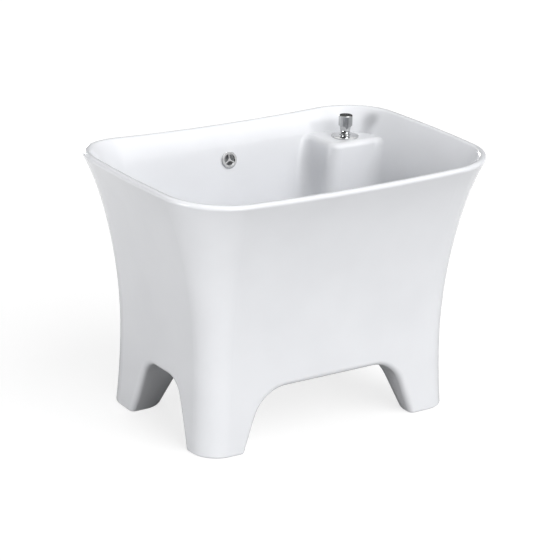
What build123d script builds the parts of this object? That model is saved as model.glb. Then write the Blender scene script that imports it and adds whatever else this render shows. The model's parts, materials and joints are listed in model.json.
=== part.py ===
"""Free-standing ceramic mop sink with a pull-knob pop-up waste.

Millimetres. +Z up, +X along the long side, +Y to the rear.
The origin is on the floor, at the middle of the overall footprint.
"""
from build123d import *
from math import atan, cos, degrees, pi, radians, sin, sqrt, tan
import os

os.makedirs("parts", exist_ok=True)

# Overall form of the basin
height = 430.0
rim_half_length = 285.5
rim_half_width = 206.5
rim_corner_radius = 99.0
rim_dip = 8.5
wall = 13.0
rim_outer_round = 5.0
rim_inner_round = 5.5

# The flare: how far each section lies inside the rim's outline
waist_height = 130.0
waist_inset = 54.5
foot_inset = 50.0
flare_top = height - 7.0
overshoot = 16.0
wall_margin = 2.0

# The four sides bulge a little, more at the rim than at the waist
end_bow_waist, end_bow_rim = 2.0, 10.0
side_bow_waist, side_bow_rim = 2.0, 3.0

# Bowl floor and its dish around the waste
floor_height = 136.0
floor_round = 22.0
dish_depth = 3.0
dish_radius = 84.0

# Corner column: a drafted block that carries the knob's deck
deck_height = 388.0
column_left = 164.0
column_front = 103.2
column_left_draft = 0.185
column_front_draft = 0.14
column_skin, column_wall = 12.0, 10.0
column_edge_top, column_edge_foot = 20.0, 26.0
valley_top, valley_foot, valley_growth = 9.0, 42.0, 0.6
deck_round, deck_round_step = 9.0, 15

# Arches between the legs, a little off the middle planes
front_arch_centre, front_arch_half, front_arch_lean = -4.0, 160.0, 20.0
front_arch_height, front_arch_round = 97.0, 60.0
side_arch_centre, side_arch_half, side_arch_lean = -10.0, 84.0, 20.5
side_arch_height, side_arch_round = 102.3, 38.0
arch_below = 10.0
arch_edge_round, leg_corner_round, foot_round = 9.0, 50.0, 3.0

# Hollows under the floor and inside the legs
under_floor = 122.0
recess_foot, recess_round = 90.0, 12.0
long_recess = (218.0, 32.0)
wide_recess = (88.0, 140.0)
leg_skin, pocket_lean, pocket_depth = 14.0, 2.5, 80.0
pocket_corner, pocket_edge = 26.0, 3.0
hollow_foot = 112.0
window_left, window_front, window_size, window_foot = 106.0, 60.0, 50.0, 50.0
window_round = 8.0

# Waste, on the vertical axis through the origin
drain_hole_radius = 23.0
boss_radius, boss_face = 43.0, 102.0
flange_recess_radius, flange_recess_face = 36.0, 129.0
flange_radius, flange_face, flange_lip, flange_slope = 33.0, 130.5, 1.2, 2.0
waste_bore, stem_radius, body_radius = 17.2, 18.9, 21.0
body_top, body_foot = 128.0, 54.0
tail_radius, tail_end = 16.0, 38.0

# Lever that lifts the stopper: its ball sits in a port on the waste
pivot_height, pivot_reach = 70.0, 29.0
pivot_radius, ball_radius = 2.5, 6.2
port_radius, port_end = 10.0, 34.0
strap_reach = 154.5
running_gap = 0.3

# Knob axis; the rod below it leans in to follow the flare
knob_x, knob_y = 214.0, 139.5
knob_travel = 34.0
knob_foot = 393.6
rod_radius = 3.0
rod_bend_height, rod_bend_radius, rod_lean = 316.0, 14.0, 23.0
rod_tail = 110.0
strap_width, strap_sheet, strap_offset = 11.0, 1.5, 3.8

# Overflow hole and the duct behind it
overflow_x, overflow_height = 5.0, 366.5
overflow_hole_radius = 12.0
duct_width, duct_skin = 36.0, 8.0
duct_front, duct_back = 6.0, 5.0
duct_floor, duct_roof, duct_top = 109.0, 121.0, 378.0
spine_top, spine_round = 384.0, 7.0

# Clearances between pieces that touch: pressed, threaded and sliding
press_gap, thread_gap, slide_gap = 0.02, 0.05, 0.08

# Overflow sleeve and cap, measured from the wall's inner face
sleeve_bore, sleeve_length, sleeve_lip = 10.2, 10.0, 1.0
cap_radius, cap_opening, cap_stand, cap_height = 14.0, 10.4, 0.3, 2.6
cap_edge_round = 0.4
cap_hub, cap_spoke, spoke_stand, spoke_height = 2.6, 2.0, 0.8, 1.4
cap_skirt_sheet, cap_skirt_length = 1.15, 9.5

# Deck stack and knob
under_deck = deck_height - column_skin
deck_hole_radius = 11.0
guide_radius, guide_foot = 8.0, 358.0
collar_face, collar_radius, collar_sheet, collar_round = 391.8, 9.4, 1.2, 0.5
escutcheon_radius, escutcheon_sheet, escutcheon_seat = 23.2, 1.2, 3.0
escutcheon_rise = collar_face - deck_height
brim_width, brim_high, brim_low, brim_under = 2.0, 2.3, 1.4, 1.0
deck_washer_radius, deck_washer_sheet = 18.0, 3.0
deck_nut_radius, deck_nut_height = 15.0, 7.0
knob_radius, knob_height, knob_socket = 11.8, 31.6, 24.0
knob_neck_foot, knob_neck_top, knob_neck_height = 7.4, 9.8, 13.6
knob_under_bevel, knob_top_bevel = 0.6, 0.8

# Strap, screw and clip
strap_top, strap_fold, strap_end = 44.0, 6.0, 12.0
strap_hole, strap_hole_step, strap_hole_count = 4.2, 12.0, 5
ear_places = (46.0, 62.0)
screw_place, screw_radius, screw_length = 54.75, 2.0, 7.0
screw_head_radius, screw_head_height, screw_grip = 5.5, 4.0, 0.6
clip_length, clip_height, clip_width, clip_sheet = 10.0, 16.0, 10.0, 0.6
clip_drop = 2.0
lever_inside, lever_outside, lever_bevel = 8.0, 10.0, 0.6

# Waste details
stem_foot, seat_foot, seat_radius, flange_top = 119.8, 129.6, 21.0, 133.2
gasket_radius, gasket_bore = 32.0, 24.0
washer_radius, washer_sheet = 37.0, 5.5
ring_radius, ring_sheet = 34.0, 1.5
lock_nut_radius, lock_nut_height = 30.0, 10.5
body_collar, collar_height, collar_slope = 3.0, 5.0, 2.0
slot_height, slot_width, slot_depth, slot_round = 113.5, 14.0, 9.0, 4.0
port_bore, port_opening, port_root, port_seat = 7.8, 5.0, 18.0, 20.0
seat_end = 2.0
cap_nut_radius, cap_nut_length, cap_nut_grip, lever_mouth = 12.5, 13.0, 0.9, 4.8
cap_nut_foot, cap_nut_bore = 3.0, 4.0
tail_top, tail_wall, tail_stand = 60.5, 1.5, 0.5
stopper_base, stopper_rim, stopper_radius, stopper_spigot = 127.0, 132.8, 20.4, 15.4
stopper_lip = 1.2
seal_radius, seal_height = 17.8, 2.0
wing_radius, wing_sheet, wing_height = 16.0, 1.8, 12.0
dome_rise = 3.2
dome_radius = (stopper_radius ** 2 + dome_rise ** 2) / (2 * dome_rise)
stem_rod_radius = 3.0
eye_radius, eye_hole, eye_sheet = 7.2, 4.2, 3.2

# How cylinders stand on, or hang below, the height they are given
on_base = (Align.CENTER, Align.CENTER, Align.MIN)
below_face = (Align.CENTER, Align.CENTER, Align.MAX)
same_place = 0.01

# The linkage lies in the upright plane through the waste and the knob
outward = Vector(knob_x, knob_y, 0).normalized()
sideways = Vector(knob_y, -knob_x, 0).normalized()
linkage = Plane(origin=(0, 0, 0), x_dir=outward, z_dir=sideways)
knob_reach = sqrt(knob_x ** 2 + knob_y ** 2)
half_swing = degrees(atan(knob_travel / 2 / (strap_reach - pivot_reach)))
stopper_lift = 2 * pivot_reach * tan(radians(half_swing))


def flare_inset(z):
    """How far the outer wall at height z lies inside the rim's outline."""
    if z < waist_height:
        below = (waist_height - z) / waist_height
        return waist_inset - (waist_inset - foot_inset) * below ** 2
    rise = (z - waist_height) / (flare_top - waist_height)
    return waist_inset * (1 - 0.9 * rise ** 1.9 - 0.1 * rise ** 8)


def corner_radius(z):
    """Plan radius of the outer wall's corners, constant below the waist."""
    if z < waist_height:
        return rim_corner_radius - waist_inset
    return rim_corner_radius - flare_inset(z)


def side_bow(z):
    spread = 1 - flare_inset(z) / waist_inset
    return side_bow_waist + (side_bow_rim - side_bow_waist) * spread


def end_bow(z):
    spread = 1 - flare_inset(z) / waist_inset
    return end_bow_waist + (end_bow_rim - end_bow_waist) * spread


def rear_wall(z):
    """Y of the rear wall's outer face on the middle plane."""
    return rim_half_width - flare_inset(z) + side_bow(z)


def column_faces(z):
    """X of the column's left face and Y of its front face at height z."""
    drop = deck_height - z
    left = column_left - column_left_draft * drop
    front = column_front - column_front_draft * drop
    return left, front


def spaced(low, high, count):
    return [low + (high - low) * i / (count - 1) for i in range(count)]


def basin_section(z, inset=0.0):
    """Rounded rectangle with four bulging sides, inset from the outer wall."""
    x = rim_half_length - flare_inset(z) - inset
    y = rim_half_width - flare_inset(z) - inset
    with BuildSketch(Plane.XY.offset(z)) as section:
        with BuildLine():
            ThreePointArc((-x, -y), (0, -y - side_bow(z)), (x, -y))
            ThreePointArc((x, -y), (x + end_bow(z), 0), (x, y))
            ThreePointArc((x, y), (0, y + side_bow(z)), (-x, y))
            ThreePointArc((-x, y), (-x - end_bow(z), 0), (-x, -y))
        make_face()
        fillet(vertices(), corner_radius(z) - inset)
    return section.sketch


def nearest_corner(corners, x, y):
    return corners.sort_by(lambda v: abs(v.X - x) + abs(v.Y - y))[0]


def bowl_section(z):
    """The bowl's inside below the deck, notched round the corner column."""
    left, front = column_faces(z)
    depth = (deck_height - z) / (deck_height - floor_height)
    edge = column_edge_top + (column_edge_foot - column_edge_top) * depth
    valley = valley_top + (valley_foot - valley_top) * depth ** valley_growth
    above_edge = max(0.0, z - deck_height + deck_round)
    rounding = deck_round - sqrt(deck_round ** 2 - above_edge ** 2)
    left, front = left + rounding, front + rounding
    reach = rim_half_length
    with BuildSketch(Plane.XY.offset(z)) as section:
        add(basin_section(z, wall))
        with Locations((left, front)):
            Rectangle(reach, reach, align=Align.MIN, mode=Mode.SUBTRACT)
        fillet(nearest_corner(vertices(), left, front), edge - rounding)
        on_left = vertices().filter_by(lambda v: abs(v.X - left) < same_place)
        on_front = vertices().filter_by(lambda v: abs(v.Y - front) < same_place)
        fillet([on_left.sort_by(Axis.Y)[-1], on_front.sort_by(Axis.X)[-1]], valley)
    return section.sketch


def hollow_section(z):
    """The column's hollow: a wall inside its faces and the outer wall."""
    left, front = column_faces(z)
    reach = rim_half_length
    with BuildSketch(Plane.XY.offset(z)) as section:
        add(basin_section(z, wall))
        with Locations((left + column_wall, front + column_wall)):
            Rectangle(reach, reach, align=Align.MIN, mode=Mode.INTERSECT)
        fillet(vertices().sort_by(lambda v: v.X + v.Y)[0], column_edge_top / 2)
    return section.sketch


def arch_profile(plane, centre, half, top, lean, corner):
    """Opening under the sink: leaning sides and generous top corners."""
    top_half = half - top * tan(radians(lean))
    foot_half = half + arch_below * tan(radians(lean))
    with BuildSketch(plane) as profile:
        with BuildLine():
            Polyline(
                (centre - foot_half, -arch_below),
                (centre - top_half, top),
                (centre + top_half, top),
                (centre + foot_half, -arch_below),
                close=True,
            )
        make_face()
        fillet(vertices().group_by(Axis.Y)[-1], corner)
    return profile.sketch


def wall_strip(low, high, back, front):
    """Profile in the YZ plane that follows the rear wall between two offsets."""
    heights = spaced(low, high, 8)
    with BuildSketch(Plane.YZ.offset(overflow_x)) as strip:
        with BuildLine():
            outer = Spline([(rear_wall(z) + back, z) for z in heights])
            inner = Spline([(rear_wall(z) - front, z) for z in heights])
            Line(outer @ 0, inner @ 0)
            Line(outer @ 1, inner @ 1)
        make_face()
    return strip.sketch


def leg_section(z, side_x, side_y):
    """Pocket inside one leg, a skin inside its outer walls and arch faces."""
    rise = z * tan(radians(pocket_lean))
    inner_x = side_x * (front_arch_half + leg_skin - rise) + front_arch_centre
    inner_y = side_y * (side_arch_half + leg_skin - rise) + side_arch_centre
    align_x = Align.MIN if side_x > 0 else Align.MAX
    align_y = Align.MIN if side_y > 0 else Align.MAX
    reach = rim_half_length
    with BuildSketch(Plane.XY.offset(z)) as section:
        add(basin_section(z, leg_skin))
        with Locations((inner_x, inner_y)):
            Rectangle(reach, reach, align=(align_x, align_y), mode=Mode.INTERSECT)
        fillet(nearest_corner(vertices(), inner_x, inner_y), pocket_corner)
        on_inner_x = vertices().filter_by(lambda v: abs(v.X - inner_x) < same_place)
        on_inner_y = vertices().filter_by(lambda v: abs(v.Y - inner_y) < same_place)
        far_y = on_inner_x.sort_by(lambda v: abs(v.Y))[-1]
        far_x = on_inner_y.sort_by(lambda v: abs(v.X))[-1]
        fillet([far_x, far_y], pocket_edge)
    return section.sketch


def leg_pocket(side_x, side_y, top):
    with BuildPart() as pocket:
        loft([leg_section(z, side_x, side_y) for z in (-1, top)], ruled=True)
    return pocket.part


def on_outer_wall(point):
    """Whether a point lies on the flared outer wall, above the feet."""
    beyond = flare_inset(point.Z) + wall_margin
    beside = abs(point.X) > rim_half_length - beyond
    before = abs(point.Y) > rim_half_width - beyond
    return (beside or before) and point.Z > wall_margin


def station(reach, z):
    """Point of the linkage plane, by its distance from the waste's axis."""
    return outward * reach + Vector(0, 0, z)


# Outer form: one loft from the feet through the waist to the flared rim
outer_heights = spaced(0, waist_height, 4)[:-1] + spaced(waist_height, height + overshoot, 11)
with BuildPart() as shell:
    loft([basin_section(z) for z in outer_heights])

# Inside of the bowl, in three lofts that meet below and at the deck
edge_height = deck_height - deck_round
with BuildPart() as lower_bowl:
    loft([bowl_section(z) for z in spaced(floor_height, edge_height, 9)])
    fillet(faces().sort_by(Axis.Z)[0].edges(), floor_round)

with BuildPart() as deck_edge:
    turns = range(0, 91, deck_round_step)
    rises = [edge_height + deck_round * sin(radians(turn)) for turn in turns]
    loft([bowl_section(z) for z in rises], ruled=True)

with BuildPart() as upper_bowl:
    upper_heights = spaced(deck_height, height + overshoot, 5)
    loft([basin_section(z, wall) for z in upper_heights])

with BuildPart() as bowl:
    add(lower_bowl.part)
    add(deck_edge.part)
    add(upper_bowl.part)

with BuildPart() as column_hollow:
    hollow_heights = spaced(hollow_foot, deck_height - column_skin, 9)
    loft([hollow_section(z) for z in hollow_heights])

# Under the floor: two arches that cross, with the legs' inner corners rounded
with BuildPart() as tunnels:
    front_arch = arch_profile(
        Plane.XZ,
        front_arch_centre,
        front_arch_half,
        front_arch_height,
        front_arch_lean,
        front_arch_round,
    )
    extrude(front_arch, amount=rim_half_width + overshoot, both=True)
    side_arch = arch_profile(
        Plane.YZ,
        side_arch_centre,
        side_arch_half,
        side_arch_height,
        side_arch_lean,
        side_arch_round,
    )
    extrude(side_arch, amount=rim_half_length + overshoot, both=True)
    inner_corners = [
        edge
        for edge in edges().filter_by(GeomType.LINE)
        if 0 < edge.center().Z < front_arch_height / 2
        and abs(edge.center().X) < front_arch_half + leg_skin
        and abs(edge.center().Y) < side_arch_half + leg_skin
    ]
    fillet(inner_corners, leg_corner_round)

# Two crossing recesses below the floor and the window that the lever passes through
with BuildPart() as underside:
    with BuildSketch(Plane.XY.offset(recess_foot)):
        RectangleRounded(2 * long_recess[0], 2 * long_recess[1], recess_round)
        RectangleRounded(2 * wide_recess[0], 2 * wide_recess[1], recess_round)
    extrude(amount=under_floor - recess_foot)
    with BuildSketch(Plane.XY.offset(window_foot)):
        with Locations((window_left, window_front)):
            Rectangle(window_size, window_size, align=Align.MIN)
        fillet(vertices().group_by(Axis.X)[-1], window_round)
    extrude(amount=under_floor - window_foot)

# The rim's top dips towards the middle of the long sides
with BuildPart() as rim_cut:
    cut_half = rim_half_length + 2 * overshoot
    cut_rise = rim_dip * (cut_half / (rim_half_length + end_bow_rim)) ** 2
    cut_edge = height - rim_dip + cut_rise
    with BuildSketch(Plane.XZ.offset(-rim_half_width - overshoot)):
        with BuildLine():
            ThreePointArc((-cut_half, cut_edge), (0, height - rim_dip), (cut_half, cut_edge))
            Polyline(
                (cut_half, cut_edge),
                (cut_half, height + 2 * overshoot),
                (-cut_half, height + 2 * overshoot),
                (-cut_half, cut_edge),
            )
        make_face()
    extrude(amount=2 * (rim_half_width + overshoot))

# Overflow duct: a spine on the rear wall and a channel under the floor
with BuildPart() as duct_body:
    half = duct_width / 2 + duct_skin
    extrude(wall_strip(boss_face, spine_top, duct_back + duct_skin, 2), amount=half, both=True)
    outer_face = faces().sort_by(Axis.Y)[-1]
    fillet(outer_face.edges(), spine_round)
    with BuildSketch(Plane.XY.offset(boss_face)):
        with Locations((overflow_x, 0)):
            Rectangle(2 * half, rear_wall(boss_face), align=(Align.CENTER, Align.MIN))
        Circle(boss_radius)
    extrude(amount=under_floor + 2 - boss_face)

with BuildPart() as duct_passage:
    half = duct_width / 2
    extrude(wall_strip(duct_floor, duct_top, duct_back, duct_front), amount=half, both=True)
    with BuildSketch(Plane.XY.offset(duct_floor)):
        with Locations((overflow_x, 0)):
            Rectangle(2 * half, rear_wall(duct_floor), align=(Align.CENTER, Align.MIN))
    extrude(amount=duct_roof - duct_floor)

# Overflow opening, square to the leaning rear wall
wall_lean = degrees(atan(flare_inset(overflow_height - 1) - flare_inset(overflow_height + 1)) / 2)
overflow_face = rear_wall(overflow_height) - wall
into_bowl = Vector(0, -cos(radians(wall_lean)), sin(radians(wall_lean)))
overflow_plane = Plane(
    origin=(overflow_x, overflow_face, overflow_height),
    x_dir=(1, 0, 0),
    z_dir=into_bowl,
)

with BuildPart() as basin:
    add(shell.part)
    add(tunnels.part, mode=Mode.SUBTRACT)
    low_edges = edges().filter_by(lambda e: e.center().Z < waist_height)
    fillet([edge for edge in low_edges if on_outer_wall(edge @ 0.5)], arch_edge_round)
    feet = faces().sort_by(Axis.Z)[:4]
    fillet([edge for foot in feet for edge in foot.edges()], foot_round)
    add(bowl.part, mode=Mode.SUBTRACT)
    add(rim_cut.part, mode=Mode.SUBTRACT)
    rim_top = faces().sort_by(Axis.Z)[-1]
    fillet(rim_top.outer_wire().edges(), rim_outer_round)
    rim_top = faces().filter_by(lambda f: f.inner_wires() and f.center().Z > deck_height)[0]
    fillet(rim_top.inner_wires()[0].edges(), rim_inner_round)
    add(underside.part, mode=Mode.SUBTRACT)
    for side_x, side_y in [(-1, -1), (1, -1), (-1, 1)]:
        add(leg_pocket(side_x, side_y, pocket_depth), mode=Mode.SUBTRACT)
    add(leg_pocket(1, 1, hollow_foot + 1), mode=Mode.SUBTRACT)
    add(column_hollow.part, mode=Mode.SUBTRACT)
    add(duct_body.part)
    add(duct_passage.part, mode=Mode.SUBTRACT)
    # Dish, waste hole and the flange's recess
    with BuildSketch(Plane.XZ):
        with BuildLine():
            low = floor_height - dish_depth
            slope_point = (dish_radius / 2, low + dish_depth / 4)
            ThreePointArc((0, low), slope_point, (dish_radius, floor_height))
            Polyline(
                (dish_radius, floor_height),
                (dish_radius, floor_height + dish_depth),
                (0, floor_height + dish_depth),
                (0, low),
            )
        make_face()
    revolve(axis=Axis.Z, mode=Mode.SUBTRACT)
    with Locations((0, 0, flange_recess_face)):
        Cylinder(flange_recess_radius, floor_round, align=on_base, mode=Mode.SUBTRACT)
    with Locations((0, 0, boss_face)):
        Cylinder(drain_hole_radius, floor_height - boss_face, align=on_base, mode=Mode.SUBTRACT)
    # Holes for the overflow sleeve and the knob's guide
    with BuildSketch(overflow_plane.offset(wall)):
        Circle(overflow_hole_radius)
    extrude(amount=-2 * wall, mode=Mode.SUBTRACT)
    with Locations((knob_x, knob_y, under_deck)):
        Cylinder(deck_hole_radius, 2 * column_skin, align=on_base, mode=Mode.SUBTRACT)
basin.part.label = "basin"
export_step(basin.part, "parts/basin.step")

# Rear wall overflow: a rubber sleeve in the hole and a three-spoke cap pushed into it
with BuildPart() as overflow_sleeve:
    with BuildSketch(overflow_plane):
        Circle(overflow_hole_radius - thread_gap)
        Circle(sleeve_bore, mode=Mode.SUBTRACT)
    extrude(amount=-sleeve_length)
    with BuildSketch(overflow_plane.offset(-sleeve_length)):
        Circle(overflow_hole_radius - thread_gap)
        Circle(sleeve_bore - sleeve_lip, mode=Mode.SUBTRACT)
    extrude(amount=-sleeve_lip)
overflow_sleeve.part.label = "overflow_sleeve"
export_step(overflow_sleeve.part, "parts/overflow_sleeve.step")

with BuildPart() as overflow_cap:
    with BuildSketch(overflow_plane.offset(cap_stand)):
        Circle(cap_radius)
        Circle(cap_opening, mode=Mode.SUBTRACT)
    extrude(amount=cap_height)
    fillet(edges().filter_by(GeomType.CIRCLE).sort_by(SortBy.RADIUS)[-1:], cap_edge_round)
    with BuildSketch(overflow_plane.offset(spoke_stand)):
        Circle(cap_hub)
        for turn in [90, 210, 330]:
            with Locations(Rotation(0, 0, turn)):
                Rectangle(cap_opening + cap_edge_round, cap_spoke, align=(Align.MIN, Align.CENTER))
    extrude(amount=spoke_height)
    with BuildSketch(overflow_plane.offset(spoke_stand)):
        Circle(sleeve_bore - thread_gap)
        Circle(sleeve_bore - thread_gap - cap_skirt_sheet, mode=Mode.SUBTRACT)
    extrude(amount=-cap_skirt_length)
overflow_cap.part.label = "overflow_cap"
export_step(overflow_cap.part, "parts/overflow_cap.step")

# Deck stack: guide tube through the deck, escutcheon above, washer and nut below
with BuildPart() as guide_sleeve:
    with Locations((knob_x, knob_y, guide_foot)):
        Cylinder(guide_radius, collar_face - guide_foot, align=on_base)
    with Locations((knob_x, knob_y, collar_face)):
        Cylinder(collar_radius, collar_sheet, align=on_base)
        Cylinder(rod_radius + slide_gap, 3 * (collar_face - guide_foot), mode=Mode.SUBTRACT)
    fillet(edges().group_by(Axis.Z)[-1].sort_by(SortBy.RADIUS)[-1], collar_round)
guide_sleeve.part.label = "guide_sleeve"
export_step(guide_sleeve.part, "parts/guide_sleeve.step")

with BuildPart() as escutcheon:
    bore = guide_radius + slide_gap
    seat = guide_radius + escutcheon_seat
    brim = escutcheon_radius - brim_width
    under_seat = escutcheon_rise - escutcheon_sheet
    with BuildSketch(Plane.XZ):
        with BuildLine():
            Polyline((bore, under_seat), (bore, escutcheon_rise), (seat, escutcheon_rise))
            Spline((seat, escutcheon_rise), (brim, brim_high), tangents=[(1, 0), (1, -0.3)])
            Polyline(
                (brim, brim_high),
                (escutcheon_radius, brim_low),
                (escutcheon_radius, 0),
                (escutcheon_radius - escutcheon_sheet, 0),
                (brim, brim_under),
            )
            Spline((brim, brim_under), (seat, under_seat), tangents=[(-1, 0.3), (-1, 0)])
            Line((seat, under_seat), (bore, under_seat))
        make_face()
    revolve(axis=Axis.Z)
escutcheon.part = Pos(knob_x, knob_y, deck_height) * escutcheon.part
escutcheon.part.label = "escutcheon"
export_step(escutcheon.part, "parts/escutcheon.step")

with BuildPart() as deck_washer:
    with Locations((knob_x, knob_y, under_deck - deck_washer_sheet)):
        Cylinder(deck_washer_radius, deck_washer_sheet, align=on_base)
        Cylinder(guide_radius + slide_gap, column_skin, mode=Mode.SUBTRACT)
deck_washer.part.label = "deck_washer"
export_step(deck_washer.part, "parts/deck_washer.step")

with BuildPart() as deck_nut:
    with BuildSketch(Plane.XY.offset(under_deck - deck_washer_sheet)):
        with Locations((knob_x, knob_y)):
            RegularPolygon(deck_nut_radius, 6)
            Circle(guide_radius + thread_gap, mode=Mode.SUBTRACT)
    extrude(amount=-deck_nut_height)
deck_nut.part.label = "deck_nut"
export_step(deck_nut.part, "parts/deck_nut.step")

# Pull knob: a plain cylinder on a tapered neck
with BuildPart() as lift_knob:
    with BuildSketch(Plane.XZ):
        with BuildLine():
            Polyline(
                (0, 0),
                (knob_neck_foot, 0),
                (knob_neck_top, knob_neck_height),
                (knob_radius - knob_under_bevel, knob_neck_height),
                (knob_radius, knob_neck_height + knob_under_bevel),
                (knob_radius, knob_height - knob_top_bevel),
                (knob_radius - knob_top_bevel, knob_height),
                (0, knob_height),
                close=True,
            )
        make_face()
    revolve(axis=Axis.Z)
    Cylinder(rod_radius + press_gap, 2 * knob_socket, mode=Mode.SUBTRACT)
lift_knob.part = Pos(knob_x, knob_y, knob_foot) * lift_knob.part
lift_knob.part.label = "lift_knob"
export_step(lift_knob.part, "parts/lift_knob.step")

# Lift rod: straight through the guide, then leaning in towards the waste
lean = radians(rod_lean)
down_rod = outward * -sin(lean) + Vector(0, 0, -cos(lean))
off_rod = outward * cos(lean) + Vector(0, 0, -sin(lean))
bend_run = rod_bend_radius * tan(lean / 2)
bend_point = station(knob_reach, rod_bend_height)
rod_top = station(knob_reach, knob_foot + knob_socket - 1)
with BuildPart() as lift_rod:
    with BuildLine() as rod_path:
        upper_end = bend_point + Vector(0, 0, bend_run)
        lower_start = bend_point + down_rod * bend_run
        Line(rod_top, upper_end)
        TangentArc(upper_end, lower_start, tangent=(0, 0, -1))
        Line(lower_start, bend_point + down_rod * rod_tail)
    with BuildSketch(Plane(origin=rod_top, z_dir=(0, 0, -1))):
        Circle(rod_radius)
    sweep(path=rod_path.line)
lift_rod.part.label = "lift_rod"
export_step(lift_rod.part, "parts/lift_rod.step")

# Clevis strap: folded sheet with two ears round the rod and a row of holes below
strap_start = bend_point + off_rod * -strap_offset
strap_drop = (strap_start.dot(outward) - strap_reach) / sin(lean)
strap_corner = strap_start + down_rod * strap_drop
lever_end = station(strap_reach, pivot_height - knob_travel / 2)
with BuildPart() as clevis_strap:
    with BuildLine() as strap_path:
        fold_run = strap_fold * tan(lean / 2)
        fold_start = strap_corner - down_rod * fold_run
        fold_end = strap_corner + Vector(0, 0, -fold_run)
        Line(strap_start + down_rod * strap_top, fold_start)
        TangentArc(fold_start, fold_end, tangent=down_rod)
        Line(fold_end, lever_end + Vector(0, 0, -strap_end))
    with BuildSketch(Plane(origin=strap_path.line @ 0, x_dir=sideways, z_dir=down_rod)):
        Rectangle(strap_width, strap_sheet)
    sweep(path=strap_path.line)
    for along in ear_places:
        ear_plane = Plane(origin=bend_point + down_rod * along, x_dir=sideways, z_dir=down_rod)
        with BuildSketch(ear_plane):
            Rectangle(strap_width, 2 * strap_offset + strap_sheet)
            Circle(rod_radius + thread_gap, mode=Mode.SUBTRACT)
        extrude(amount=strap_sheet)
    for step in range(strap_hole_count):
        hole_point = lever_end + Vector(0, 0, strap_hole_step * step)
        with BuildSketch(Plane(origin=hole_point, z_dir=outward)):
            Circle(strap_hole)
        extrude(amount=2 * strap_sheet, both=True, mode=Mode.SUBTRACT)
    screw_plane = Plane(origin=bend_point + down_rod * screw_place, z_dir=-off_rod)
    with BuildSketch(screw_plane):
        Circle(screw_radius + press_gap)
    extrude(amount=strap_offset + 2 * strap_sheet, mode=Mode.SUBTRACT)
clevis_strap.part.label = "clevis_strap"
export_step(clevis_strap.part, "parts/clevis_strap.step")

with BuildPart() as clevis_screw:
    with BuildSketch(screw_plane.offset(rod_radius + press_gap)):
        Circle(screw_radius)
    extrude(amount=screw_length)
    with BuildSketch(screw_plane.offset(rod_radius + screw_length)):
        Circle(screw_head_radius)
        with PolarLocations(screw_head_radius, 12):
            Circle(screw_grip, mode=Mode.SUBTRACT)
    extrude(amount=screw_head_height)
clevis_screw.part.label = "clevis_screw"
export_step(clevis_screw.part, "parts/clevis_screw.step")

# Lever: rod, ball and spring clip, tilted down towards the strap when the knob rests
swing = radians(half_swing)
lever_axis = outward * cos(swing) + Vector(0, 0, -sin(swing))
lever_up = outward * sin(swing) + Vector(0, 0, cos(swing))
pivot_point = station(pivot_reach, pivot_height)
with BuildPart() as pivot_rod:
    inner_end = pivot_point - lever_axis * (pivot_reach + lever_inside)
    with BuildSketch(Plane(origin=inner_end, z_dir=lever_axis)):
        Circle(pivot_radius)
    extrude(amount=lever_inside + strap_reach + lever_outside)
    chamfer(edges().filter_by(GeomType.CIRCLE), lever_bevel)
pivot_rod.part.label = "pivot_rod"
export_step(pivot_rod.part, "parts/pivot_rod.step")

with BuildPart() as pivot_ball:
    with Locations(Plane(origin=pivot_point, z_dir=lever_axis)):
        Sphere(ball_radius)
        Cylinder(pivot_radius + press_gap, 4 * ball_radius, mode=Mode.SUBTRACT)
pivot_ball.part.label = "pivot_ball"
export_step(pivot_ball.part, "parts/pivot_ball.step")

clip_point = pivot_point + lever_axis * ((strap_reach - pivot_reach) / cos(swing))
with BuildPart() as spring_clip:
    clip_plane = Plane(origin=clip_point, x_dir=lever_axis, z_dir=lever_up)
    with BuildSketch(clip_plane):
        with Locations((0, -clip_drop)):
            Rectangle(clip_length, clip_height)
        with Locations((0, -clip_drop + clip_sheet)):
            Rectangle(clip_length - 2 * clip_sheet, clip_height, mode=Mode.SUBTRACT)
    extrude(amount=clip_width / 2, both=True)
    with BuildSketch(Plane(origin=clip_point, z_dir=lever_axis)):
        Circle(pivot_radius + press_gap)
    extrude(amount=clip_length, both=True, mode=Mode.SUBTRACT)
spring_clip.part.label = "spring_clip"
export_step(spring_clip.part, "parts/spring_clip.step")

# Waste: flange and gasket above the ceramic, washer, ring and nut below it
with BuildPart() as drain_flange:
    with BuildSketch(Plane.XZ):
        with BuildLine():
            Polyline(
                (waste_bore, stem_foot),
                (stem_radius, stem_foot),
                (stem_radius, flange_face),
                (flange_radius, flange_face),
                (flange_radius, flange_face + flange_lip),
                (flange_radius - flange_slope, flange_top),
                (seat_radius, flange_top),
                (waste_bore, seat_foot),
                close=True,
            )
        make_face()
    revolve(axis=Axis.Z)
drain_flange.part.label = "drain_flange"
export_step(drain_flange.part, "parts/drain_flange.step")

with BuildPart() as flange_gasket:
    with Locations((0, 0, flange_recess_face)):
        Cylinder(gasket_radius, flange_face - flange_recess_face, align=on_base)
        Cylinder(gasket_bore, floor_round, mode=Mode.SUBTRACT)
flange_gasket.part.label = "flange_gasket"
export_step(flange_gasket.part, "parts/flange_gasket.step")

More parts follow.
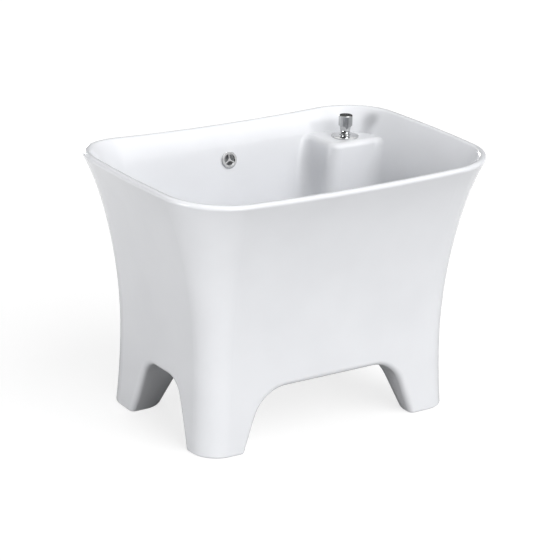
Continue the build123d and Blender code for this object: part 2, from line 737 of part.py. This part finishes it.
with BuildPart() as drain_body:
    with BuildSketch(Plane.XZ):
        with BuildLine():
            Polyline(
                (waste_bore, body_foot),
                (body_radius + body_collar, body_foot),
                (body_radius + body_collar, body_foot + collar_height),
                (body_radius, body_foot + collar_height + collar_slope),
                (body_radius, body_top),
                (stem_radius + thread_gap, body_top),
                (stem_radius + thread_gap, stem_foot - running_gap),
                (waste_bore, stem_foot - running_gap),
                close=True,
            )
        make_face()
    revolve(axis=Axis.Z)
    port_plane = Plane(origin=station(0, pivot_height), z_dir=outward)
    with BuildSketch(port_plane.offset(port_root)):
        Circle(port_radius)
    extrude(amount=port_end - port_root)
    with BuildSketch(port_plane.offset(port_seat)):
        Circle(port_bore)
    extrude(amount=port_end, mode=Mode.SUBTRACT)
    with BuildSketch(port_plane.offset(body_radius / 2)):
        Circle(port_opening)
    extrude(amount=port_end, mode=Mode.SUBTRACT)
    for slot_plane in (Plane.YZ, Plane.XZ):
        with BuildSketch(slot_plane):
            with Locations((0, slot_height)):
                RectangleRounded(slot_width, slot_depth, slot_round)
        extrude(amount=2 * body_radius, both=True, mode=Mode.SUBTRACT)
drain_body.part.label = "drain_body"
export_step(drain_body.part, "parts/drain_body.step")

with BuildPart() as under_washer:
    with Locations((0, 0, boss_face)):
        Cylinder(washer_radius, washer_sheet, align=below_face)
        Cylinder(body_radius + slide_gap, 4 * washer_sheet, mode=Mode.SUBTRACT)
under_washer.part.label = "under_washer"
export_step(under_washer.part, "parts/under_washer.step")

with BuildPart() as friction_ring:
    with Locations((0, 0, boss_face - washer_sheet)):
        Cylinder(ring_radius, ring_sheet, align=below_face)
        Cylinder(body_radius + slide_gap, 4 * ring_sheet, mode=Mode.SUBTRACT)
friction_ring.part.label = "friction_ring"
export_step(friction_ring.part, "parts/friction_ring.step")

with BuildPart() as lock_nut:
    with BuildSketch(Plane.XY.offset(boss_face - washer_sheet - ring_sheet)):
        RegularPolygon(lock_nut_radius, 6)
        Circle(body_radius + thread_gap, mode=Mode.SUBTRACT)
    extrude(amount=-lock_nut_height)
lock_nut.part.label = "lock_nut"
export_step(lock_nut.part, "parts/lock_nut.step")

with BuildPart() as ball_seat:
    with BuildSketch(port_plane.offset(port_seat + thread_gap)):
        Circle(port_bore - slide_gap)
        Circle(port_opening, mode=Mode.SUBTRACT)
    extrude(amount=pivot_reach - port_seat - seat_end)
    with Locations(pivot_point):
        Sphere(ball_radius + running_gap, mode=Mode.SUBTRACT)
ball_seat.part.label = "ball_seat"
export_step(ball_seat.part, "parts/ball_seat.step")

with BuildPart() as pivot_cap:
    with BuildSketch(port_plane.offset(pivot_reach - cap_nut_foot)):
        Circle(cap_nut_radius)
        with PolarLocations(cap_nut_radius, 16):
            Circle(cap_nut_grip, mode=Mode.SUBTRACT)
    extrude(amount=cap_nut_length)
    with BuildSketch(port_plane.offset(pivot_reach - cap_nut_bore)):
        Circle(port_radius + thread_gap)
    extrude(amount=port_end - pivot_reach + cap_nut_bore + slide_gap, mode=Mode.SUBTRACT)
    with BuildSketch(port_plane.offset(port_end)):
        Circle(lever_mouth)
    extrude(amount=cap_nut_length, mode=Mode.SUBTRACT)
    with Locations(pivot_point):
        Sphere(ball_radius + running_gap, mode=Mode.SUBTRACT)
pivot_cap.part.label = "pivot_cap"
export_step(pivot_cap.part, "parts/pivot_cap.step")

with BuildPart() as tailpiece:
    with BuildSketch(Plane.XZ):
        with BuildLine():
            Polyline(
                (tail_radius - tail_wall, tail_end),
                (tail_radius, tail_end),
                (tail_radius, body_foot - tail_stand),
                (waste_bore - thread_gap, body_foot - tail_stand),
                (waste_bore - thread_gap, tail_top),
                (tail_radius - tail_wall, tail_top),
                close=True,
            )
        make_face()
    revolve(axis=Axis.Z)
tailpiece.part.label = "tailpiece"
export_step(tailpiece.part, "parts/tailpiece.step")

# Stopper: drawn closed on its seat, then raised to where the resting knob holds it
dome_foot = stopper_rim + stopper_lip
with BuildPart() as stopper_cap:
    with BuildSketch(Plane.XZ):
        with BuildLine():
            Polyline(
                (0, stopper_base),
                (stopper_spigot, stopper_base),
                (stopper_spigot, stopper_rim),
                (stopper_radius, stopper_rim),
                (stopper_radius, dome_foot),
            )
            RadiusArc((stopper_radius, dome_foot), (0, dome_foot + dome_rise), -dome_radius)
            Line((0, dome_foot + dome_rise), (0, stopper_base))
        make_face()
    revolve(axis=Axis.Z)
stopper_cap.part = Pos(0, 0, stopper_lift) * stopper_cap.part
stopper_cap.part.label = "stopper_cap"
export_step(stopper_cap.part, "parts/stopper_cap.step")

with BuildPart() as stopper_seal:
    with Locations((0, 0, stopper_rim)):
        Cylinder(seal_radius, seal_height, align=below_face)
        Cylinder(stopper_spigot + press_gap, 4 * seal_height, mode=Mode.SUBTRACT)
stopper_seal.part = Pos(0, 0, stopper_lift) * stopper_seal.part
stopper_seal.part.label = "stopper_seal"
export_step(stopper_seal.part, "parts/stopper_seal.step")

eye_height = pivot_height - pivot_reach * tan(swing)
stem_length = stopper_base - eye_height - eye_radius + eye_sheet / 2
with BuildPart() as stopper_stem:
    with Locations((0, 0, stopper_base)):
        Cylinder(stem_rod_radius, stem_length, align=below_face)
    with BuildSketch(Plane.XY.offset(stopper_base)):
        for turn in [0, 60, 120]:
            with Locations(Rotation(0, 0, turn)):
                Rectangle(2 * wing_radius, wing_sheet)
    extrude(amount=-wing_height)
    with BuildSketch(Plane(origin=(0, 0, eye_height), z_dir=outward)):
        Circle(eye_radius)
        Circle(eye_hole, mode=Mode.SUBTRACT)
    extrude(amount=eye_sheet / 2, both=True)
stopper_stem.part = Pos(0, 0, stopper_lift) * stopper_stem.part
stopper_stem.part.label = "stopper_stem"
export_step(stopper_stem.part, "parts/stopper_stem.step")
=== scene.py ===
"""Studio scene of the ceramic mop sink, in the frame of its CAD model. Metres."""
import json
from math import cos, radians, sin

import bpy
from mathutils import Matrix, Vector

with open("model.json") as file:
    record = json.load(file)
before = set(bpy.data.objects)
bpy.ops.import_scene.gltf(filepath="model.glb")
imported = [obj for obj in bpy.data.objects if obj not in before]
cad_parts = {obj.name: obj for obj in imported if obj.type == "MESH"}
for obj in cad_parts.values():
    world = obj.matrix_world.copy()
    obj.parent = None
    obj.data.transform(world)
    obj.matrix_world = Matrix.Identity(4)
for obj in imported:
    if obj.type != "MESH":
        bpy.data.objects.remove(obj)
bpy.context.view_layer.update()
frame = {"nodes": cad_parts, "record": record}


def towards(azimuth, elevation):
    """Unit vector to an azimuth in degrees, counted from the front towards the right."""
    az, el = radians(azimuth), radians(elevation)
    return Vector((sin(az) * cos(el), -cos(az) * cos(el), sin(el)))


# Camera, as the photograph was taken
camera_place = (-1.92126, -2.85998, 1.43861)
camera_azimuth, camera_elevation, camera_roll = -33.842, 19.6215, 1.602
lens_length, sensor_width = 145.089, 36
clip_distance = 50


def camera_turn(azimuth, elevation, roll):
    """Rotation of a camera that looks at the sink from a direction."""
    az, ro = radians(azimuth), radians(roll)
    back = towards(azimuth, elevation)
    level_right = Vector((cos(az), sin(az), 0))
    level_up = back.cross(level_right)
    right = level_right * cos(ro) + level_up * sin(ro)
    up = level_up * cos(ro) - level_right * sin(ro)
    return Matrix((right, up, back)).transposed().to_4x4()


camera_data = bpy.data.cameras.new("camera")
camera_data.lens = lens_length
camera_data.sensor_width = sensor_width
camera_data.clip_end = clip_distance
camera = bpy.data.objects.new("camera", camera_data)
bpy.context.scene.collection.objects.link(camera)
turn = camera_turn(camera_azimuth, camera_elevation, camera_roll)
camera.matrix_world = Matrix.Translation(camera_place) @ turn
bpy.context.scene.camera = camera


# Materials
def new_material(name):
    """A material with a Principled shader; returns it with its node tree and shader."""
    made = bpy.data.materials.new(name)
    made.use_nodes = True
    tree = made.node_tree
    return made, tree, tree.nodes["Principled BSDF"]


def noise(tree, scale, detail=2.0, roughness=0.5):
    """Noise in the object's own coordinates, so it keeps its size in metres."""
    coordinates = tree.nodes.new("ShaderNodeTexCoord")
    texture = tree.nodes.new("ShaderNodeTexNoise")
    texture.inputs["Scale"].default_value = scale
    texture.inputs["Detail"].default_value = detail
    texture.inputs["Roughness"].default_value = roughness
    tree.links.new(coordinates.outputs["Object"], texture.inputs["Vector"])
    return texture


def spread(tree, source, low, high):
    """Maps a 0 to 1 value onto low to high."""
    mapped = tree.nodes.new("ShaderNodeMapRange")
    mapped.inputs["To Min"].default_value = low
    mapped.inputs["To Max"].default_value = high
    tree.links.new(source, mapped.inputs["Value"])
    return mapped.outputs["Result"]


def blend_colours(tree, source, first, second, low=0.35, high=0.65):
    """Runs from one colour to the other while the value goes from low to high."""
    ramp = tree.nodes.new("ShaderNodeValToRGB")
    ramp.color_ramp.elements[0].position = low
    ramp.color_ramp.elements[0].color = (*first, 1)
    ramp.color_ramp.elements[1].position = high
    ramp.color_ramp.elements[1].color = (*second, 1)
    tree.links.new(source, ramp.inputs["Fac"])
    return ramp.outputs["Color"]


def bump(tree, shader, source, height, strength):
    """Gives the shader relief of a real height in metres."""
    relief = tree.nodes.new("ShaderNodeBump")
    relief.inputs["Strength"].default_value = strength
    relief.inputs["Distance"].default_value = height
    tree.links.new(source, relief.inputs["Height"])
    tree.links.new(relief.outputs["Normal"], shader.inputs["Normal"])


def glazed_ceramic(dark, light, roughness):
    """Cool white that varies broadly, under a smooth glaze with a slight waviness."""
    made, tree, shader = new_material("white_glaze")
    broad = noise(tree, 9, 2)
    tint = blend_colours(tree, broad.outputs["Fac"], dark, light)
    tree.links.new(tint, shader.inputs["Base Color"])
    shader.inputs["Roughness"].default_value = roughness
    fine = noise(tree, 55, 3)
    bump(tree, shader, fine.outputs["Fac"], 0.00035, 0.35)
    return made


def fine_grained(name, dark, light, smooth, rough, scale, detail, height, strength, metallic=0):
    """One fine noise that varies the colour, the roughness and the relief."""
    made, tree, shader = new_material(name)
    shader.inputs["Metallic"].default_value = metallic
    fine = noise(tree, scale, detail)
    tint = blend_colours(tree, fine.outputs["Fac"], dark, light)
    tree.links.new(tint, shader.inputs["Base Color"])
    roughness = spread(tree, fine.outputs["Fac"], smooth, rough)
    tree.links.new(roughness, shader.inputs["Roughness"])
    bump(tree, shader, fine.outputs["Fac"], height, strength)
    return made


def metal(name, colour, smooth, rough, scale):
    dark = tuple(0.94 * channel for channel in colour)
    return fine_grained(name, dark, colour, smooth, rough, scale, 3, 0.00005, 0.3, 1)


rubber_dark, rubber_light = (0.018, 0.018, 0.019), (0.034, 0.034, 0.036)
plastic_dark, plastic_light = (0.74, 0.74, 0.72), (0.79, 0.79, 0.77)
finishes = {
    "glaze": glazed_ceramic((0.775, 0.785, 0.81), (0.80, 0.81, 0.835), 0.18),
    "chrome": metal("chrome", (0.55, 0.556, 0.56), 0.05, 0.10, 160),
    "brass": metal("machined_brass", (0.72, 0.53, 0.24), 0.22, 0.34, 400),
    "steel": metal("spring_steel", (0.56, 0.57, 0.58), 0.28, 0.4, 500),
    "rubber": fine_grained(
        "black_rubber", rubber_dark, rubber_light, 0.55, 0.75, 900, 4, 0.00008, 0.5
    ),
    "plastic": fine_grained(
        "white_plastic", plastic_dark, plastic_light, 0.35, 0.5, 700, 3, 0.00005, 0.4
    ),
}
slots = {part["node"]: part["material_slot"] for part in frame["record"]["subparts"]}
for name, node in frame["nodes"].items():
    node.data.materials.clear()
    node.data.materials.append(finishes[slots[name]])


# Studio: a pale floor that runs out of the view, five soft lamps and a dim room.
# Colours and light levels are linear, and distances from the sink are in metres.
floor_half = 9
floor_white, floor_seen, floor_glow = 0.42, 0.3, 0.77
lift_starts, lift_full = 0.3, 1.2

# Name, azimuth, elevation, strength and width of the disc; angles in degrees
lamps = [
    ("key", 16, 44, 2.5, 60),
    ("front", 4, 2, 0.75, 8),
    ("fill", -90, 3, 2.05, 18),
    ("back", 140, 66, 0.5, 70),
    ("rear", 165, 5, 1.3, 20),
]

# Mirrored in glaze and chrome: a ceiling over dim walls and a screen at the front right
room_light = 0.14
wall_level, ceiling_level = 0.12, 0.9
ceiling_starts, ceiling_full = 0.35, 0.75
screen_direction = (0.53, -0.85, 0.0)
screen_starts, screen_full = 0.55, 0.85


def math_node(tree, operation, *values):
    """A Math node; a value is a number or the socket that feeds it."""
    node = tree.nodes.new("ShaderNodeMath")
    node.operation = operation
    for socket, value in zip(node.inputs, values):
        if isinstance(value, (int, float)):
            socket.default_value = value
        else:
            tree.links.new(value, socket)
    return node.outputs[0]


def ranged(tree, source, from_low, from_high, low, high):
    """Maps a value softly from one range onto another."""
    node = tree.nodes.new("ShaderNodeMapRange")
    node.interpolation_type = "SMOOTHSTEP"
    node.inputs["From Min"].default_value = from_low
    node.inputs["From Max"].default_value = from_high
    node.inputs["To Min"].default_value = low
    node.inputs["To Max"].default_value = high
    tree.links.new(source, node.inputs["Value"])
    return node.outputs["Result"]


def floor_material():
    """Diffuse white that takes the shadow, lifted to paper white for the camera.

    In the reflections on the sink, the lift sets in only away from it.
    """
    made = bpy.data.materials.new("paper_floor")
    made.use_nodes = True
    tree = made.node_tree
    tree.nodes.clear()
    output = tree.nodes.new("ShaderNodeOutputMaterial")
    path = tree.nodes.new("ShaderNodeLightPath")
    seen = path.outputs["Is Camera Ray"]
    diffuse = tree.nodes.new("ShaderNodeBsdfDiffuse")
    tree.links.new(ranged(tree, seen, 0, 1, floor_white, floor_seen), diffuse.inputs["Color"])
    place = tree.nodes.new("ShaderNodeNewGeometry")
    away = tree.nodes.new("ShaderNodeVectorMath")
    away.operation = "LENGTH"
    tree.links.new(place.outputs["Position"], away.inputs[0])
    far = ranged(tree, away.outputs["Value"], lift_starts, lift_full, 0, 1)
    mirrored = math_node(tree, "MULTIPLY", far, path.outputs["Is Glossy Ray"])
    lift = math_node(tree, "MAXIMUM", seen, mirrored)
    glow = tree.nodes.new("ShaderNodeEmission")
    tree.links.new(math_node(tree, "MULTIPLY", lift, floor_glow), glow.inputs["Strength"])
    both = tree.nodes.new("ShaderNodeAddShader")
    tree.links.new(diffuse.outputs[0], both.inputs[0])
    tree.links.new(glow.outputs[0], both.inputs[1])
    tree.links.new(both.outputs[0], output.inputs["Surface"])
    return made


def sun(name, azimuth, elevation, strength, width):
    data = bpy.data.lights.new(name, "SUN")
    data.energy = strength
    data.angle = radians(width)
    lamp = bpy.data.objects.new(name, data)
    source = towards(azimuth, elevation)
    lamp.rotation_euler = source.to_track_quat("Z", "Y").to_euler()
    bpy.context.scene.collection.objects.link(lamp)


def room():
    """White for the camera, mirrored as ceiling and screen, and dim as a source of light."""
    world = bpy.data.worlds.new("studio")
    world.use_nodes = True
    tree = world.node_tree
    backdrop = tree.nodes["Background"]
    backdrop.inputs["Color"].default_value = (1, 1, 1, 1)
    path = tree.nodes.new("ShaderNodeLightPath")
    direction = tree.nodes.new("ShaderNodeTexCoord")
    parts = tree.nodes.new("ShaderNodeSeparateXYZ")
    tree.links.new(direction.outputs["Generated"], parts.inputs[0])
    ceiling = ranged(
        tree, parts.outputs["Z"], ceiling_starts, ceiling_full, wall_level, ceiling_level
    )
    to_screen = tree.nodes.new("ShaderNodeVectorMath")
    to_screen.operation = "DOT_PRODUCT"
    tree.links.new(direction.outputs["Generated"], to_screen.inputs[0])
    to_screen.inputs[1].default_value = screen_direction
    screen = ranged(tree, to_screen.outputs["Value"], screen_starts, screen_full, 0, 1)
    bright = math_node(tree, "MAXIMUM", ceiling, screen)
    mirrored = math_node(tree, "MULTIPLY", bright, path.outputs["Is Glossy Ray"])
    not_mirrored = math_node(tree, "SUBTRACT", 1, path.outputs["Is Glossy Ray"])
    diffuse = math_node(tree, "MULTIPLY", not_mirrored, room_light)
    both = math_node(tree, "ADD", mirrored, diffuse)
    level = math_node(tree, "MAXIMUM", both, path.outputs["Is Camera Ray"])
    tree.links.new(level, backdrop.inputs["Strength"])
    return world


floor_mesh = bpy.data.meshes.new("floor")
floor_corners = [
    (-floor_half, -floor_half, 0),
    (floor_half, -floor_half, 0),
    (floor_half, floor_half, 0),
    (-floor_half, floor_half, 0),
]
floor_mesh.from_pydata(floor_corners, [], [(0, 1, 2, 3)])
floor_mesh.materials.append(floor_material())
floor = bpy.data.objects.new("floor", floor_mesh)
bpy.context.scene.collection.objects.link(floor)
for lamp in lamps:
    sun(*lamp)
bpy.context.scene.world = room()
bpy.context.scene.view_settings.view_transform = "Standard"
